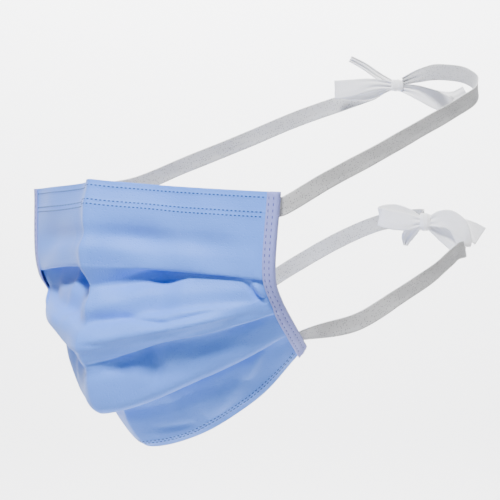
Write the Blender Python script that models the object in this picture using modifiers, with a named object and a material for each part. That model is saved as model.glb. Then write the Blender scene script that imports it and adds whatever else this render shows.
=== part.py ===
"""A surgical face mask as it is worn: a pleated cloth body with a folded binding down each side,
and four flat ties that meet behind the head in two bows.

X points to the wearer's left, Y backwards, Z up. The origin is where the mask sits on the bridge
of the nose, at the middle of its top edge.
"""

from collections import namedtuple

import bpy
import numpy as np

# Outline of the body
HALF_SPAN = 0.0738
SIDE_SETBACK = 0.0350
SIDE_DROP = 0.0050
JAW_HALF_SPAN = 0.0575
JAW_SETBACK = 0.0690
JAW_DROP = 0.0700
MOUTH_REACH = 0.0096
CHIN_SETBACK = 0.0335
CHIN_DROP = 0.1135
NOSE_RIDGE = 0.0075
NOSE_RIDGE_WIDTH = 0.0102

# Cloth
WALL = 0.0010
LAYER_GAP = 0.00035
CLEARANCE = 0.0003
PLEAT_DEPTH = 0.0085
PUFF = 0.0022

# Binding
BINDING_WIDTH = 0.0062
BINDING_WALL = 0.0010
BINDING_TAIL = 0.0012
BINDING_ROOM = 0.0006

# Ties
TIE_WIDTH = 0.0076
TIE_WALL = 0.0010
TIE_HOLD = 0.0060
TIE_SLACK = 0.0021

# Bows
UPPER_KNOT_SIDE = -0.0175
UPPER_KNOT_BACK = 0.2145
UPPER_KNOT_RISE = 0.0433
UPPER_KNOT_WIDTH = 0.0062
UPPER_KNOT_HEIGHT = 0.0058
LOWER_KNOT_SIDE = 0.0350
LOWER_KNOT_BACK = 0.1733
LOWER_KNOT_RISE = -0.0203
LOWER_KNOT_WIDTH = 0.0052
LOWER_KNOT_HEIGHT = 0.0084
KNOT_DEPTH = 0.0080
BOW_TURN = np.radians(44.0)
BOW_GAP = 0.0008

# Points across the body and along a tie
STATIONS = 45
TIE_POINTS = 48

# Worked out: the pitch from layer to layer through a fold, the depth of the binding's inner face
# behind the cloth's front layer, and the pitch from tape to tape at a knot
LAYER = WALL + LAYER_GAP
BINDING_BACK = 2 * LAYER + WALL / 2 + 2 * BINDING_ROOM
BOW_STEP = TIE_WALL + BOW_GAP
UP = np.array([0.0, 0.0, 1.0])

# The lines that run across the body. Shares: reach of MOUTH_REACH forwards, chin of CHIN_SETBACK
# backwards, drop of CHIN_DROP; the side end's shares go from the top corner to the jaw corner.
Line = namedtuple("Line", "name reach chin drop side_in side_back side_drop roundness ridge sag")
LINES = (
    Line("top edge", 0.00, 0.000, 0.000, 0.00, 0.00, 0.000, 0.16, 1.00, 0.45),
    Line("pleat 1", 0.52, 0.000, 0.311, 0.16, 0.00, 0.555, 0.22, 1.20, 1.20),
    Line("cheek", 0.80, 0.000, 0.590, 0.30, 0.225, 0.705, 0.52, 0.30, 1.10),
    Line("pleat 2", 0.42, 0.000, 0.672, 0.345, 0.30, 0.750, 0.36, 0.60, 1.20),
    Line("pleat 3", 0.00, 0.235, 0.858, 0.575, 0.61, 0.880, 0.42, 0.20, 1.25),
    Line("bottom edge", 0.00, 1.000, 1.000, 1.00, 1.00, 1.000, 0.42, 0.25, 1.72),
)

# The knife pleats. crest is the line whose cloth folds back up behind it; open_angle is how far
# the fold has swung open at the middle, in degrees; shut_at is where, from the middle (0) to the
# side (1), it is flat again.
Pleat = namedtuple("Pleat", "crest open_angle shut_at")
PLEATS = (Pleat(1, 152, 0.62), Pleat(3, 162, 0.45), Pleat(4, 20, 0.50))

# Rows of cloth between one pleat and the next: how far down the way to the next crest (0 to 1)
# and how much they stand out of the smooth outline, as a share of PUFF, at the middle.
Row = namedtuple("Row", "way puff")
PANELS = (
    (Row(0.0, 0.0), Row(0.1, 0.1), Row(0.3, 0.7), Row(0.48, 0.4), Row(0.64, -0.7), Row(0.82, 0.5), Row(1.0, 0.0)),
    (Row(0.10, 0.0), Row(0.28, 0.4), Row(0.49, -1.0), Row(0.60, 0.3), Row(0.71, 0.8), Row(0.86, 0.4), Row(1.0, 0.0)),
    (Row(0.12, 0.0), Row(0.35, 0.6), Row(0.6, 1.0), Row(0.82, 0.6), Row(1.0, 0.0)),
    (Row(0.12, 0.0), Row(0.3, -0.6), Row(0.5, 0.0), Row(0.75, 0.3), Row(0.9, 0.2), Row(1.0, 0.0)),
)

# The bindings' rows: places down the side edge, counted in lines.
BINDING_STOPS = np.concatenate([np.linspace(0.0, 1.0, 7), np.linspace(1.2, 3.0, 10), np.linspace(3.2, 5.0, 10)])

# The ties' routes, from the binding to the knot. Shares of the way: across (X), back (Y), rise (Z).
Stop = namedtuple("Stop", "across back rise")
UPPER_LEFT_ROUTE = (
    Stop(-0.049, 0.120, 0.175), Stop(-0.060, 0.291, 0.385), Stop(-0.038, 0.462, 0.580),
    Stop(0.016, 0.632, 0.755), Stop(0.093, 0.758, 0.870), Stop(0.181, 0.826, 0.930),
    Stop(0.280, 0.883, 0.985), Stop(0.390, 0.929, 1.035), Stop(0.500, 0.963, 1.075),
    Stop(0.632, 0.991, 1.100), Stop(0.775, 1.014, 1.108), Stop(0.874, 1.017, 1.085),
)
UPPER_RIGHT_ROUTE = (
    Stop(-0.080, 0.177, 0.050), Stop(-0.089, 0.348, 0.113), Stop(-0.027, 0.519, 0.293),
    Stop(0.116, 0.689, 0.496), Stop(0.330, 0.832, 0.702), Stop(0.562, 0.934, 0.847), Stop(0.777, 0.983, 0.934),
)
LOWER_LEFT_ROUTE = (
    Stop(-0.348, 0.164, 0.150), Stop(-0.522, 0.401, 0.365), Stop(-0.435, 0.658, 0.555),
    Stop(-0.130, 0.874, 0.690), Stop(0.196, 1.017, 0.734), Stop(0.457, 1.141, 0.746),
    Stop(0.761, 1.218, 0.776), Stop(1.022, 1.213, 0.839), Stop(1.065, 1.131, 0.912),
)
LOWER_RIGHT_ROUTE = (
    Stop(-0.086, 0.195, 0.042), Stop(-0.118, 0.452, 0.105), Stop(-0.086, 0.709, 0.168),
    Stop(-0.032, 0.894, 0.304), Stop(0.065, 1.069, 0.535), Stop(0.226, 1.223, 0.786),
    Stop(0.409, 1.310, 0.954), Stop(0.602, 1.316, 1.015), Stop(0.753, 1.259, 1.031),
    Stop(0.860, 1.151, 1.027), Stop(0.925, 1.059, 1.010),
)

# How a bow's piece leaves its knot. Shares: along of its length, behind in steps from one tape to
# the next, rise of the piece's own rise, width of TIE_WIDTH.
Bend = namedtuple("Bend", "along behind rise width")
FRONT_LOOP = (
    Bend(0.00, -1.45, 0.10, 0.45), Bend(0.25, -1.85, 0.25, 0.90), Bend(0.60, -1.95, 0.60, 1.10),
    Bend(0.90, -1.80, 0.92, 1.10), Bend(1.00, -1.05, 1.00, 1.10), Bend(0.90, -0.35, 0.92, 1.10),
    Bend(0.60, -0.20, 0.60, 1.05), Bend(0.25, -0.30, 0.25, 0.85), Bend(0.00, -0.55, 0.10, 0.45),
)
MIDDLE_LOOP = (
    Bend(0.00, -0.45, 0.12, 0.42), Bend(0.25, -0.95, 0.30, 0.85), Bend(0.60, -1.15, 0.64, 1.10),
    Bend(0.90, -1.00, 0.93, 1.10), Bend(1.00, -0.10, 1.00, 1.10), Bend(0.90, 0.65, 0.93, 1.10),
    Bend(0.60, 0.80, 0.64, 1.05), Bend(0.25, 0.65, 0.30, 0.80), Bend(0.00, 0.45, 0.12, 0.42),
)
SHORT_TAIL = (
    Bend(0.00, 0.65, 0.14, 0.42), Bend(0.30, 0.90, 0.36, 0.45), Bend(0.65, 1.10, 0.72, 0.48),
    Bend(1.00, 1.00, 1.00, 0.55),
)
HANGING_TAIL = (
    Bend(0.00, 0.65, 0.20, 0.30), Bend(0.35, 0.75, 0.26, 0.40), Bend(0.80, 0.90, 0.55, 0.50),
    Bend(1.00, 1.00, 1.00, 0.60),
)
LONG_TAIL = (
    Bend(0.00, 1.55, 0.10, 0.40), Bend(0.30, 2.10, 0.45, 0.60), Bend(0.60, 2.40, 0.90, 0.75),
    Bend(0.80, 2.20, 1.00, 0.85), Bend(1.00, 1.60, 0.50, 0.75),
)
WIDE_TAIL = (
    Bend(0.00, 0.55, 0.05, 0.45), Bend(0.30, 0.75, 0.12, 0.80), Bend(0.60, 0.80, 0.25, 0.90),
    Bend(0.80, 0.70, 0.55, 1.05), Bend(1.00, 0.60, 1.00, 1.30),
)

# The bows' pieces. side is 1 for the wearer's left and -1 for the right; length and rise are
# shares of TIE_WIDTH.
BowPiece = namedtuple("BowPiece", "name side length rise points bends")
UPPER_BOW = (
    BowPiece("bow_upper_loop_left", 1, 3.09, -1.32, 38, MIDDLE_LOOP),
    BowPiece("bow_upper_loop_right", -1, 3.22, -0.53, 38, FRONT_LOOP),
    BowPiece("bow_upper_tail_left", 1, 3.95, -0.79, 18, LONG_TAIL),
    BowPiece("bow_upper_tail_right", -1, 2.63, 1.68, 14, SHORT_TAIL),
)
LOWER_BOW = (
    BowPiece("bow_lower_loop_left", 1, 1.97, -0.29, 38, FRONT_LOOP),
    BowPiece("bow_lower_loop_right", -1, 2.43, 0.34, 38, FRONT_LOOP),
    BowPiece("bow_lower_tail_left", 1, 3.09, -0.86, 18, WIDE_TAIL),
    BowPiece("bow_lower_tail_right", -1, 1.12, -1.51, 12, HANGING_TAIL),
)

FINISHES = {
    "blue_cloth": ((0.40, 0.56, 0.84, 1.0), 0.85),
    "lavender_binding": ((0.52, 0.58, 0.82, 1.0), 0.85),
    "grey_tie": ((0.58, 0.58, 0.60, 1.0), 0.80),
    "white_bow": ((0.85, 0.85, 0.87, 1.0), 0.80),
}


def clear_scene():
    for thing in list(bpy.data.objects):
        bpy.data.objects.remove(thing, do_unlink=True)


def make_collection(name):
    collection = bpy.data.collections.new(name)
    bpy.context.scene.collection.children.link(collection)
    return collection


def finish(name):
    """A Principled BSDF material, made once."""
    if name in bpy.data.materials:
        return bpy.data.materials[name]
    colour, roughness = FINISHES[name]
    material = bpy.data.materials.new(name)
    material.use_nodes = True
    shader = material.node_tree.nodes["Principled BSDF"]
    shader.inputs["Base Color"].default_value = colour
    shader.inputs["Roughness"].default_value = roughness
    shader.inputs["Metallic"].default_value = 0.0
    return material


def unit(vectors):
    return vectors / np.linalg.norm(vectors, axis=-1, keepdims=True)


def cloth_object(name, grid, wall, finish_name, collection):
    """An open sheet through a grid of points, given its thickness by a Solidify modifier."""
    rows, columns = grid.shape[:2]
    index = np.arange(rows * columns).reshape(rows, columns)
    faces = np.stack([index[:-1, :-1], index[:-1, 1:], index[1:, 1:], index[1:, :-1]], -1).reshape(-1, 4)
    mesh = bpy.data.meshes.new(name)
    mesh.from_pydata(grid.reshape(-1, 3).tolist(), [], faces.tolist())
    mesh.shade_smooth()
    mesh.materials.append(finish(finish_name))
    piece = bpy.data.objects.new(name, mesh)
    collection.objects.link(piece)
    thicken = piece.modifiers.new("cloth wall", "SOLIDIFY")
    thicken.thickness = wall
    thicken.offset = 0.0
    thicken.use_even_offset = True
    return piece


def line_points(line, across):
    """A line from the middle (0) to the side (1 or -1): straight and round parts mixed by its
    roundness, pushed forwards in a bell-shaped ridge at the nose."""
    share = np.abs(across)
    side_x = HALF_SPAN + line.side_in * (JAW_HALF_SPAN - HALF_SPAN)
    side_y = SIDE_SETBACK + line.side_back * (JAW_SETBACK - SIDE_SETBACK)
    side_z = -SIDE_DROP - line.side_drop * (JAW_DROP - SIDE_DROP)
    ridge = line.ridge * NOSE_RIDGE
    middle_y = ridge - line.reach * MOUTH_REACH + line.chin * CHIN_SETBACK
    middle_z = -line.drop * CHIN_DROP
    turn = share * np.pi / 2
    x = side_x * ((1 - line.roundness) * share + line.roundness * np.sin(turn))
    bend = (1 - line.roundness) * share + line.roundness * (1 - np.cos(turn))
    y = middle_y + (side_y - middle_y) * bend - ridge * np.exp(-((x / NOSE_RIDGE_WIDTH) ** 2))
    z = middle_z + (side_z - middle_z) * share**line.sag
    return np.stack([np.sign(across) * x, y, z], -1)


def outline(down, across):
    """The smooth outer surface: at each place across, a curve down through the lines' points.
    down counts the lines, from 0 at the top edge to 5 at the bottom edge."""
    last = len(LINES) - 1
    knots = np.stack([line_points(line, across) for line in LINES])
    step = np.clip(down.astype(int), 0, last - 1)
    share = (down - step)[:, None]
    place = np.arange(len(across))
    start, end = knots[step, place], knots[step + 1, place]
    before = np.where((step > 0)[:, None], knots[np.maximum(step - 1, 0), place], 2 * start - end)
    after = np.where((step < last - 1)[:, None], knots[np.minimum(step + 2, last), place], 2 * end - start)
    near, middle, far = (
        np.sqrt(np.linalg.norm(gap, axis=1, keepdims=True)) for gap in (start - before, end - start, after - end)
    )
    leave = middle * ((start - before) / near - (end - before) / (near + middle) + (end - start) / middle)
    arrive = middle * ((end - start) / middle - (after - start) / (middle + far) + (after - end) / far)
    square, cube = share**2, share**3
    return (
        (2 * cube - 3 * square + 1) * start
        + (cube - 2 * square + share) * leave
        + (3 * square - 2 * cube) * end
        + (cube - square) * arrive
    )


def outward(down, across):
    """The outline's unit normal, away from the face."""
    nudge = 0.01
    low, high = np.maximum(down - nudge, 0.0), np.minimum(down + nudge, len(LINES) - 1.0)
    left, right = np.maximum(across - nudge, -1.0), np.minimum(across + nudge, 1.0)
    along_down = outline(high, across) - outline(low, across)
    along_across = outline(down, right) - outline(down, left)
    return unit(np.cross(along_down, along_across))


def sheet_point(down, across, inset):
    return outline(down, across) - outward(down, across) * inset[:, None]


def walked(down, across, distance):
    """Where a place on the outline comes to after a distance down it, at each place across."""
    stops = np.linspace(0.0, len(LINES) - 1.0, 101)
    curve = np.stack([outline(np.full_like(across, stop), across) for stop in stops])
    steps = np.linalg.norm(np.diff(curve, axis=0), axis=2)
    travel = np.vstack([np.zeros_like(across), np.cumsum(steps, axis=0)])
    return np.array([
        np.interp(np.interp(place, stops, lengths) + step, lengths, stops)
        for place, step, lengths in zip(down, distance, travel.T)
    ])


def distance_between(high, low, across):
    """The outline's length between two places, at each place across."""
    shares = np.linspace(0.0, 1.0, 25)
    curve = np.stack([outline(high + share * (low - high), across) for share in shares])
    return np.sum(np.linalg.norm(np.diff(curve, axis=0), axis=2), axis=0)


def pleat_rows(pleat, across):
    """The rows of one knife pleat: (down, inset) at its crest, behind it, and at its hidden fold.
    The return panel swings from straight up, shut, to nearly straight down, open."""
    crest = np.full_like(across, float(pleat.crest))
    ease = np.clip(np.abs(across) / pleat.shut_at, 0.0, 1.0)
    angle = np.radians(pleat.open_angle) * (1 - ease**2 * (3 - 2 * ease))
    turn_down, turn_in = LAYER * np.sin(angle / 2), LAYER * np.cos(angle / 2)
    swing_down, swing_in = -PLEAT_DEPTH * np.cos(angle), PLEAT_DEPTH * np.sin(angle)
    return (
        (walked(crest, across, turn_down), turn_in),
        (walked(crest, across, turn_down + swing_down), turn_in + swing_in),
        (walked(crest, across, 2 * turn_down + swing_down), 2 * turn_in + swing_in),
    )


def body_rows(across):
    """Every row of the body's cloth, from the top edge to the bottom edge, as (down, inset)."""
    calm = np.cos(across * np.pi / 2)
    rows = []
    top, tuck = np.zeros_like(across), np.zeros_like(across)
    for number, panel in enumerate(PANELS):
        bottom = np.full_like(across, float(PLEATS[number].crest if number < len(PLEATS) else len(LINES) - 1))
        length = distance_between(top, bottom, across)
        for row in panel:
            fade = (row.way - panel[0].way) / (1 - panel[0].way)
            inset = tuck * (1 - fade**2 * (3 - 2 * fade)) - row.puff * PUFF * calm
            rows.append((walked(top, across, row.way * length), inset))
        if number < len(PLEATS):
            folded = pleat_rows(PLEATS[number], across)
            rows.extend(folded)
            top, tuck = np.maximum(folded[-1][0], bottom), folded[-1][1]
    return rows


def build_body(collection):
    across = np.linspace(-1.0, 1.0, STATIONS)
    grid = np.stack([sheet_point(down, across, inset) for down, inset in body_rows(across)])
    return cloth_object("mask_body", grid, WALL, "blue_cloth", collection)


def side_edge(side, stops):
    """Points down a side edge, with the directions out of the cloth's edge and out of its face."""
    edge = np.full_like(stops, float(side))
    points = outline(stops, edge)
    sideways = unit(points - outline(stops, edge * 0.98))
    return points, sideways, outward(stops, edge)


def build_binding(name, side, collection):
    """A strip folded round the side edge: an outer leg, the fold, and an inner leg."""
    points, sideways, normal = side_edge(side, BINDING_STOPS)
    front = WALL / 2 + BINDING_ROOM + BINDING_WALL / 2
    back = BINDING_BACK + BINDING_WALL / 2
    fold = BINDING_ROOM + BINDING_WALL / 2
    share = BINDING_WIDTH / HALF_SPAN
    columns = [sheet_point(BINDING_STOPS, np.full_like(BINDING_STOPS, side * (1.0 - reach * share)),
                           np.full_like(BINDING_STOPS, -front)) for reach in (1.0, 0.5, 0.0)]
    columns.append(points + sideways * fold + normal * front * 0.6)
    columns.append(points + sideways * fold - normal * back * 0.85)
    columns += [sheet_point(BINDING_STOPS, np.full_like(BINDING_STOPS, side * (1.0 - reach * share)),
                            np.full_like(BINDING_STOPS, back)) for reach in (0.0, 0.5, 1.0)]
    grid = np.stack(columns, axis=1)
    tail = unit(grid[-1:] - grid[-2:-1]) * BINDING_TAIL
    grid = np.concatenate([grid, grid[-1:] + tail])
    if side < 0:
        grid = grid[:, ::-1]
    return cloth_object(name, grid, BINDING_WALL, "lavender_binding", collection)


def smooth_path(points, count):
    """count points evenly along a smooth curve through the given ones, and where each given one
    lies along it, from 0 to 1."""
    points = np.asarray(points, float)
    padded = np.vstack([2 * points[0] - points[1], points, 2 * points[-1] - points[-2]])
    steps = 12
    share = np.linspace(0.0, 1.0, steps, endpoint=False)[:, None]
    pieces = []
    for a, b, c, d in zip(padded, padded[1:], padded[2:], padded[3:]):
        pieces.append(
            0.5 * (2 * b + (c - a) * share + (2 * a - 5 * b + 4 * c - d) * share**2
                   + (3 * b - 3 * c + d - a) * share**3)
        )
    curve = np.vstack(pieces + [points[-1:]])
    travel = np.concatenate([[0.0], np.cumsum(np.linalg.norm(np.diff(curve, axis=0), axis=1))])
    even = np.linspace(0.0, travel[-1], count)
    path = np.stack([np.interp(even, travel, curve[:, axis]) for axis in range(3)], -1)
    return path, travel[::steps] / travel[-1]


def ribbon(name, points, widths, leans, count, finish_name, collection):
    """A flat tape along a path. widths and leans have one value for each point: how wide the tape
    is, and the direction that its width keeps as near to as its heading allows."""
    path, places = smooth_path(points, count)
    even = np.linspace(0.0, 1.0, count)
    heading = unit(np.gradient(path, axis=0))
    lean = np.stack([np.interp(even, places, axis) for axis in np.array(leans).T], -1)
    wide = unit(lean - heading * np.sum(lean * heading, axis=1, keepdims=True))
    half = np.interp(even, places, widths)[:, None] / 2
    grid = np.stack([path - wide * half, path + wide * half], axis=1)
    return cloth_object(name, grid, TIE_WALL, finish_name, collection)


UPPER_KNOT = np.array([UPPER_KNOT_SIDE, UPPER_KNOT_BACK, UPPER_KNOT_RISE])
LOWER_KNOT = np.array([LOWER_KNOT_SIDE, LOWER_KNOT_BACK, LOWER_KNOT_RISE])
BOW_ALONG = np.array([np.cos(BOW_TURN), np.sin(BOW_TURN), 0.0])
BOW_BEHIND = np.array([-np.sin(BOW_TURN), np.cos(BOW_TURN), 0.0])

# The ties. side is 1 for the wearer's left; down is the place on the side edge, counted in lines;
# behind, in steps from tape to tape, and rise, as a share of TIE_WIDTH, place the end at its knot.
Tie = namedtuple("Tie", "name side down route knot knot_width behind rise")
TIES = (
    Tie("tie_upper_left", 1, 0.17, UPPER_LEFT_ROUTE, UPPER_KNOT, UPPER_KNOT_WIDTH, -1.50, 0.25),
    Tie("tie_upper_right", -1, 0.17, UPPER_RIGHT_ROUTE, UPPER_KNOT, UPPER_KNOT_WIDTH, 1.67, 0.0),
    Tie("tie_lower_left", 1, 4.78, LOWER_LEFT_ROUTE, LOWER_KNOT, LOWER_KNOT_WIDTH, 1.80, 0.0),
    Tie("tie_lower_right", -1, 4.78, LOWER_RIGHT_ROUTE, LOWER_KNOT, LOWER_KNOT_WIDTH, 1.67, 0.0),
)


def bow_point(knot, along, behind, up):
    """A point near a knot, measured from the upright plane that the bow hangs in."""
    return knot + BOW_ALONG * along + BOW_BEHIND * behind + UP * up


def build_tie(tie, collection):
    """A tie from inside the binding to the side of its knot."""
    name, side, down, route, knot, knot_width, behind, rise = tie
    inset = BINDING_BACK + BINDING_WALL + CLEARANCE + TIE_WALL / 2
    reach = np.array([1.0 - TIE_HOLD / HALF_SPAN, 1.0 - 0.5 * TIE_HOLD / HALF_SPAN, 1.0])
    held = sheet_point(np.full(3, down), side * reach, inset + TIE_SLACK * np.array([1.0, 1.0, 0.3]))
    edge = side_edge(side, np.array([down - 0.1, down + 0.1]))[0]
    start = held[-1]
    stops = [start + (knot - start) * np.array(stop) for stop in route]
    arrival = bow_point(knot, side * (knot_width / 2 + 3.5 * CLEARANCE), behind * BOW_STEP, rise * TIE_WIDTH)
    widths = [TIE_WIDTH] * (len(stops) + 2) + [0.85 * TIE_WIDTH, 0.42 * TIE_WIDTH]
    leans = [unit(edge[0] - edge[1])] * 3 + [UP] * (len(stops) + 1)
    return ribbon(name, list(held) + stops + [arrival], widths, leans, TIE_POINTS, "grey_tie", collection)


def build_knot(name, knot, width, height, collection):
    """The knot: a rounded block of wound tape, turned with its bow."""
    bpy.ops.mesh.primitive_cube_add(size=1.0, location=(0, 0, 0))
    piece = bpy.context.object
    piece.name = name
    piece.data.name = name
    for owner in list(piece.users_collection):
        owner.objects.unlink(piece)
    collection.objects.link(piece)
    turn = np.stack([BOW_ALONG, BOW_BEHIND, UP])
    for vertex in piece.data.vertices:
        vertex.co = (np.array(vertex.co) * (width, KNOT_DEPTH, height)) @ turn
    piece.location = knot
    soften = piece.modifiers.new("rounding", "BEVEL")
    soften.width = 0.25 * min(width, height)
    soften.segments = 3
    piece.data.materials.append(finish("white_bow"))
    piece.data.shade_smooth()
    return piece


def build_bow(knot, knot_width, pieces, collection):
    """The loops and free ends beside a knot."""
    edge = knot_width / 2 + 2 * CLEARANCE
    for piece in pieces:
        length, rise = piece.length * TIE_WIDTH, piece.rise * TIE_WIDTH
        points = [
            bow_point(knot, piece.side * (edge + bend.along * length), bend.behind * BOW_STEP, bend.rise * rise)
            for bend in piece.bends
        ]
        widths = [bend.width * TIE_WIDTH for bend in piece.bends]
        ribbon(piece.name, points, widths, [UP] * len(points), piece.points, "white_bow", collection)


def build_model():
    clear_scene()
    parts = make_collection("surgical_face_mask")
    build_body(parts)
    build_binding("binding_left", 1, parts)
    build_binding("binding_right", -1, parts)

    for tie in TIES:
        build_tie(tie, parts)
    build_knot("knot_upper", UPPER_KNOT, UPPER_KNOT_WIDTH, UPPER_KNOT_HEIGHT, parts)
    build_knot("knot_lower", LOWER_KNOT, LOWER_KNOT_WIDTH, LOWER_KNOT_HEIGHT, parts)
    build_bow(UPPER_KNOT, UPPER_KNOT_WIDTH, UPPER_BOW, parts)
    build_bow(LOWER_KNOT, LOWER_KNOT_WIDTH, LOWER_BOW, parts)


build_model()
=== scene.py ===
# %% [markdown]
# # A tie-on surgical face mask
# This lesson dresses a finished CAD frame. The frame holds plain solids: one sheet of pleated
# cloth, a binding down each side, four flat ties and two bows. Each step below replaces one of
# them with a finer surface in the same place, gives it a finish, and says why it is made so.
# Lengths are in metres. X points to the wearer's left, Y backwards and Z up, and the origin is
# where the mask sits on the bridge of the nose.

# %% Load the frame
from collections import namedtuple

import bpy
import numpy as np
from mathutils import Matrix, Vector


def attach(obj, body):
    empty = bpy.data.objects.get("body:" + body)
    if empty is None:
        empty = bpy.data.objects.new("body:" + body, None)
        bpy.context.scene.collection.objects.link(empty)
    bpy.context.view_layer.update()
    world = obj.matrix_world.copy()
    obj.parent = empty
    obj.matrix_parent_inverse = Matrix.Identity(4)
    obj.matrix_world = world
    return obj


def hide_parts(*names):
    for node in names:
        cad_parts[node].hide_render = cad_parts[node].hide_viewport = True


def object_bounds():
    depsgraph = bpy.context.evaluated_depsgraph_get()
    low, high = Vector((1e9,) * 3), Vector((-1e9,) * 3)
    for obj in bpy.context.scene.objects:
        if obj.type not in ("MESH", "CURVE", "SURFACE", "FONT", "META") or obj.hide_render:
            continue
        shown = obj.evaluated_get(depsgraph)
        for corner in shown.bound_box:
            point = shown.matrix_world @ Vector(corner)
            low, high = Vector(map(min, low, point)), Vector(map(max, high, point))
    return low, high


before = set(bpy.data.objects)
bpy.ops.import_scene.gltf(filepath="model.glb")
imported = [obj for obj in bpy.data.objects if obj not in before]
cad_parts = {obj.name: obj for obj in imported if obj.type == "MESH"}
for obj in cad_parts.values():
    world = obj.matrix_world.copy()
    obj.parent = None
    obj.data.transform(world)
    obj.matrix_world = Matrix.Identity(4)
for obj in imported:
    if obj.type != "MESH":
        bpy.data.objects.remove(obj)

cad_low, cad_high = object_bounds()
print("CAD box, mm:", [round(1000 * side, 1) for side in cad_high - cad_low])

# %% [markdown]
# ## The camera
# The picture was taken from the wearer's left, a little above the mask, with a long lens, so
# parallel edges stay nearly parallel. One point ties the two together: the bridge of the nose,
# which is the origin, lies at a known place in the picture. Everything else follows from the
# distance and from how much one pixel covers there.

# %% Camera
PICTURE_SIDE = 500
NOSE_COLUMN, NOSE_ROW = 90, 179
PIXEL = 0.000415
AZIMUTH, ELEVATION = np.radians([44.0, 2.0])
DISTANCE = 1.1

to_camera = np.array([
    np.sin(AZIMUTH) * np.cos(ELEVATION), -np.cos(AZIMUTH) * np.cos(ELEVATION), np.sin(ELEVATION)
])
to_right = np.array([np.cos(AZIMUTH), np.sin(AZIMUTH), 0.0])
to_top = np.cross(to_camera, to_right)
aim = ((PICTURE_SIDE / 2 - NOSE_COLUMN) * to_right + (NOSE_ROW - PICTURE_SIDE / 2) * to_top) * PIXEL

lens = bpy.data.cameras.new("camera")
lens.lens = lens.sensor_width * DISTANCE / (PIXEL * PICTURE_SIDE)
camera = bpy.data.objects.new("camera", lens)
camera.matrix_world = Matrix.Translation(aim + DISTANCE * to_camera) @ Matrix(
    np.stack([to_right, to_top, to_camera], axis=1).tolist()).to_4x4()
bpy.context.scene.collection.objects.link(camera)
bpy.context.scene.camera = camera
print("lens, mm:", round(lens.lens, 1))

# %% [markdown]
# ## Small tools for surfaces
# Every new piece is a grid of points. A grid could be typed in or modelled by hand, but a formula
# keeps the cloth smooth and can be changed with one number. These tools give arrows a length of
# one, ease a value in and out, bend a curve through points, and turn a grid into a mesh.

# %% Tools for surfaces
UP = np.array([0.0, 0.0, 1.0])


def unit(arrows):
    """Each arrow divided by its own length."""
    return arrows / np.linalg.norm(arrows, axis=-1, keepdims=True)


def eased(share):
    """3s² - 2s³, held at 0 before the start and at 1 after the end."""
    share = np.clip(share, 0.0, 1.0)
    return share**2 * (3 - 2 * share)


def bridge(before, start, end, after, share):
    """A smooth curve from start to end. Its slopes weigh the neighbours by the roots of their
    distances, so that a short step between two long ones doesn't overshoot."""
    near, middle, far = (
        np.sqrt(np.linalg.norm(gap, axis=-1, keepdims=True))
        for gap in (start - before, end - start, after - end)
    )
    leave = middle * ((start - before) / near - (end - before) / (near + middle) + (end - start) / middle)
    arrive = middle * ((end - start) / middle - (after - start) / (middle + far) + (after - end) / far)
    square, cube = share**2, share**3
    return (
        (2 * cube - 3 * square + 1) * start + (cube - 2 * square + share) * leave
        + (3 * square - 2 * cube) * end + (cube - square) * arrive
    )


def travelled(points):
    """The distance from the first row of points to each row, summed over the rows between."""
    steps = np.linalg.norm(np.diff(points, axis=0), axis=-1)
    return np.concatenate([np.zeros_like(steps[:1]), np.cumsum(steps, axis=0)])


def grid_normals(grid):
    """The step down a column crossed with the step along a row, which points away from the face."""
    return unit(np.cross(np.gradient(grid, axis=0), np.gradient(grid, axis=1)))


def grid_faces(rows, columns):
    """Four corners for each cell of a grid, row by row."""
    index = np.arange(rows * columns).reshape(rows, columns)
    corners = index[:-1, :-1], index[:-1, 1:], index[1:, 1:], index[1:, :-1]
    return np.stack(corners, -1).reshape(-1, 4).tolist()


def new_object(name, points, faces):
    """A smooth mesh object, linked to the scene."""
    mesh = bpy.data.meshes.new(name)
    mesh.from_pydata(points.reshape(-1, 3).tolist(), [], faces)
    mesh.shade_smooth()
    thing = bpy.data.objects.new(name, mesh)
    bpy.context.scene.collection.objects.link(thing)
    return thing


def new_piece(name, points, faces):
    """An object that belongs to the mask: it rides on the root body."""
    piece = new_object(name, points, faces)
    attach(piece, "root")
    return piece


def cloth_piece(name, grid, uv, wall):
    """An open sheet through a grid, thickened half to each side. Each point of the grid has its UV
    place in metres of cloth."""
    piece = new_piece(name, grid, grid_faces(*grid.shape[:2]))
    corner_points = np.empty(len(piece.data.loops), dtype=np.int32)
    piece.data.loops.foreach_get("vertex_index", corner_points)
    corner_uv = uv.reshape(-1, 2)[corner_points].astype(np.float32)
    piece.data.uv_layers.new(name="cloth").uv.foreach_set("vector", corner_uv.ravel())
    thicken = piece.modifiers.new("cloth wall", "SOLIDIFY")
    thicken.thickness = wall
    thicken.offset = 0.0
    thicken.use_even_offset = True
    print(name, "points:", grid.shape[0] * grid.shape[1])
    return piece


# %% [markdown]
# ## The form that the cloth follows
# The mask is one rectangle of cloth, bent round a face. Its smooth form is drawn by six lines that
# run from side to side: the top edge, the crests of three pleats, the cheek between two of them,
# and the bottom edge. A curve down through the six gives every point in between. The form could be
# draped by simulation over a head, but there is no head here, and the worn outline is known.

# %% The form
HALF_SPAN = 0.0738
SIDE_SETBACK = 0.0350
SIDE_DROP = 0.0050
JAW_HALF_SPAN = 0.0575
JAW_SETBACK = 0.0690
JAW_DROP = 0.0700
MOUTH_REACH = 0.0096
CHIN_SETBACK = 0.0335
CHIN_DROP = 0.1135
NOSE_RIDGE = 0.0075
NOSE_RIDGE_WIDTH = 0.0102

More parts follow.
